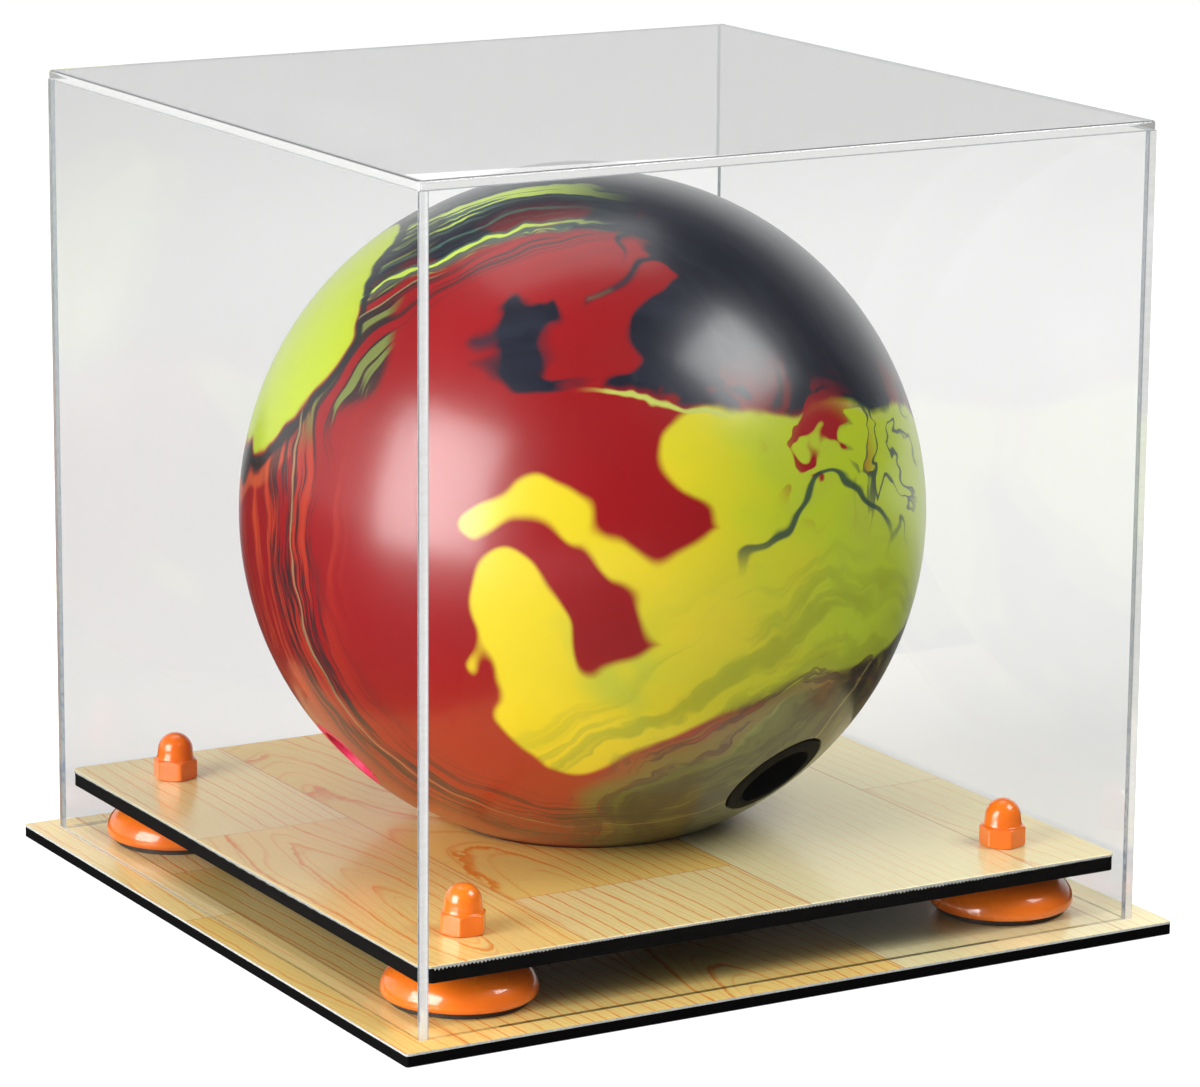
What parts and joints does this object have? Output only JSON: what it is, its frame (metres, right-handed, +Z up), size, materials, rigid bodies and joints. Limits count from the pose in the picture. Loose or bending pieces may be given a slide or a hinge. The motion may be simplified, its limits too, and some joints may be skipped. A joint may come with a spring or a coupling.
{
  "type": "bowling ball display case",
  "caption": "Clear five-panel cover over a ball that sits in a round seat, on a shelf with domed feet and cap nuts, on a flat wood-grain base.",
  "frame": {"origin": "middle of the base board's underside, on the surface the case stands on", "axes": "+Z up through the middle of the ball, +X to the right and -Y to the front as seen from in front of the case"},
  "size_m": [0.2716, 0.2716, 0.2569],
  "materials": {
    "black_board": "satin black board",
    "wood_laminate": "pale satin maple-look film with orange grain lines",
    "pad_rubber": "matt black rubber",
    "orange_foot_paint": "high-gloss orange paint",
    "orange_nut_paint": "high-gloss orange paint",
    "bolt_steel": "zinc-plated steel",
    "clear_acrylic": "clear polished acrylic sheet",
    "marbled_ball": "polished marbled red, navy and lime resin",
    "black_slug": "satin black plastic",
    "pink_insert": "soft satin pink rubber"
  },
  "bodies": {
    "stand": {"base_board": "black_board", "base_laminate": "wood_laminate", "shelf_board": "black_board", "shelf_laminate": "wood_laminate", "pad_front_left": "pad_rubber", "foot_front_left": "orange_foot_paint", "pad_front_right": "pad_rubber", "foot_front_right": "orange_foot_paint", "pad_back_left": "pad_rubber", "foot_back_left": "orange_foot_paint", "pad_back_right": "pad_rubber", "foot_back_right": "orange_foot_paint", "foot_bolts": "bolt_steel", "cap_nuts": "orange_nut_paint"},
    "cover": {"cover_left_panel": "clear_acrylic", "cover_right_panel": "clear_acrylic", "cover_front_panel": "clear_acrylic", "cover_back_panel": "clear_acrylic", "cover_top_panel": "clear_acrylic"},
    "ball": {"ball": "marbled_ball", "thumb_slug": "black_slug", "finger_insert_front": "pink_insert", "finger_insert_back": "pink_insert"}
  },
  "joints": [
    {"name": "cover_lift", "type": "slide", "parent": "stand", "child": "cover", "axis": [0, 0, 1], "range_m": [0, 0.24]},
    {"name": "ball_turn", "type": "hinge", "parent": "stand", "child": "ball", "pos_m": [0, 0, 0.12408], "axis": [0, 0, 1], "continuous": true}
  ]
}
